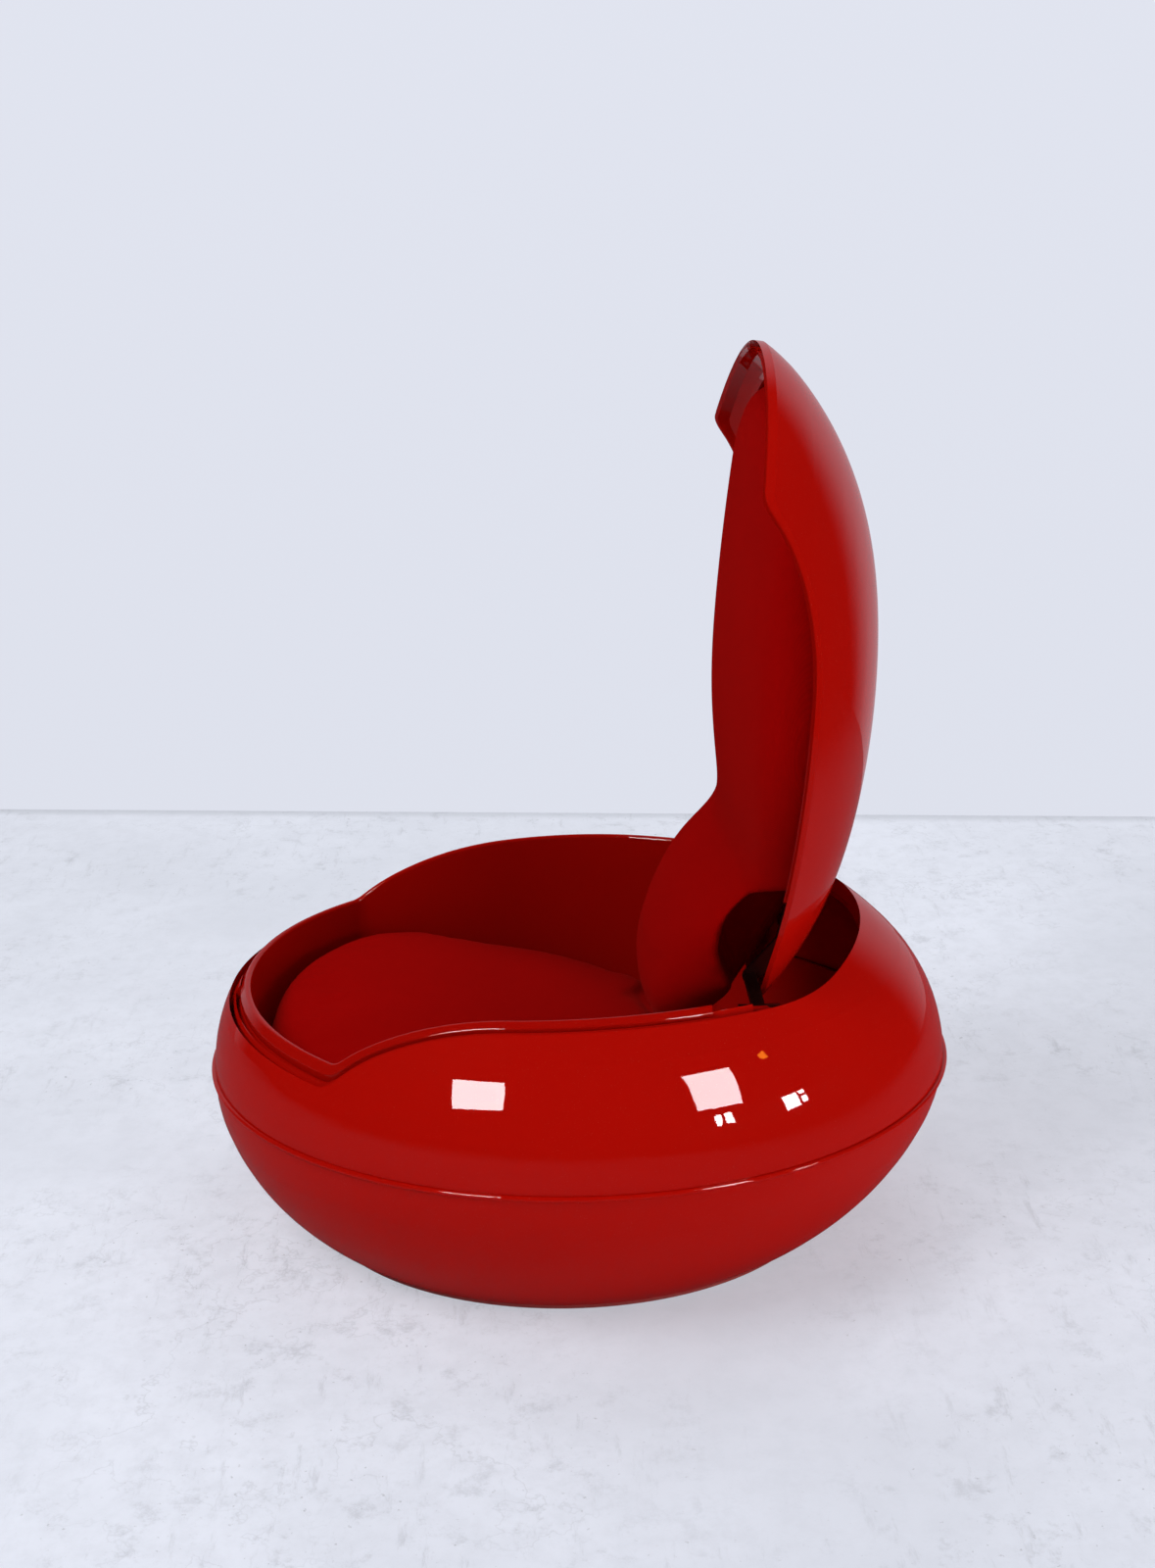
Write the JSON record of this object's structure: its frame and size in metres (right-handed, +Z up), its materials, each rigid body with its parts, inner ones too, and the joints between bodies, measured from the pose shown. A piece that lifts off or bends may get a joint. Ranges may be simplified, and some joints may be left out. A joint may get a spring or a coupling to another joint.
{
  "type": "hinged pod lounge chair",
  "caption": "low egg-shaped lounge chair with a glossy moulded shell whose hinged lid opens into an upholstered backrest over a cushioned seat well",
  "frame": {"origin": "on the floor under the centre of the shell's widest line", "axes": "+Z up, the sitter faces -Y, +X is the sitter's left"},
  "size_m": [0.766, 0.8468, 0.994],
  "materials": {
    "shell_red": "high gloss lacquer",
    "foot_red": "satin",
    "cloth_red": "matte woven cloth",
    "foam": "open cell foam",
    "steel": "satin",
    "nylon": "natural",
    "rubber": "matte",
    "board": "bare plywood"
  },
  "bodies": {
    "chair": {"foot_ring": "foot_red", "base_shell": "shell_red", "top_shell": "shell_red", "seat_tub": "shell_red", "seat_foam": "foam", "seat_cover": "cloth_red", "hinge_bracket_left": "steel", "hinge_bracket_right": "steel", "hinge_bushes": "nylon", "stop_buffers": "rubber", "bracket_screws": "steel", "catch_keeper": "shell_red"},
    "lid": {"lid_shell": "shell_red", "back_board": "board", "back_foam": "foam", "back_cover": "cloth_red", "hinge_arm_left": "steel", "hinge_arm_right": "steel", "arm_screws": "steel", "hinge_pins": "steel", "pull_loop": "rubber"}
  },
  "joints": [
    {"name": "lid_hinge", "type": "hinge", "parent": "chair", "child": "lid", "pos_m": [0, 0.2219, 0.3684], "axis": [1, 0, 0], "range_deg": [0, 97.4]}
  ]
}
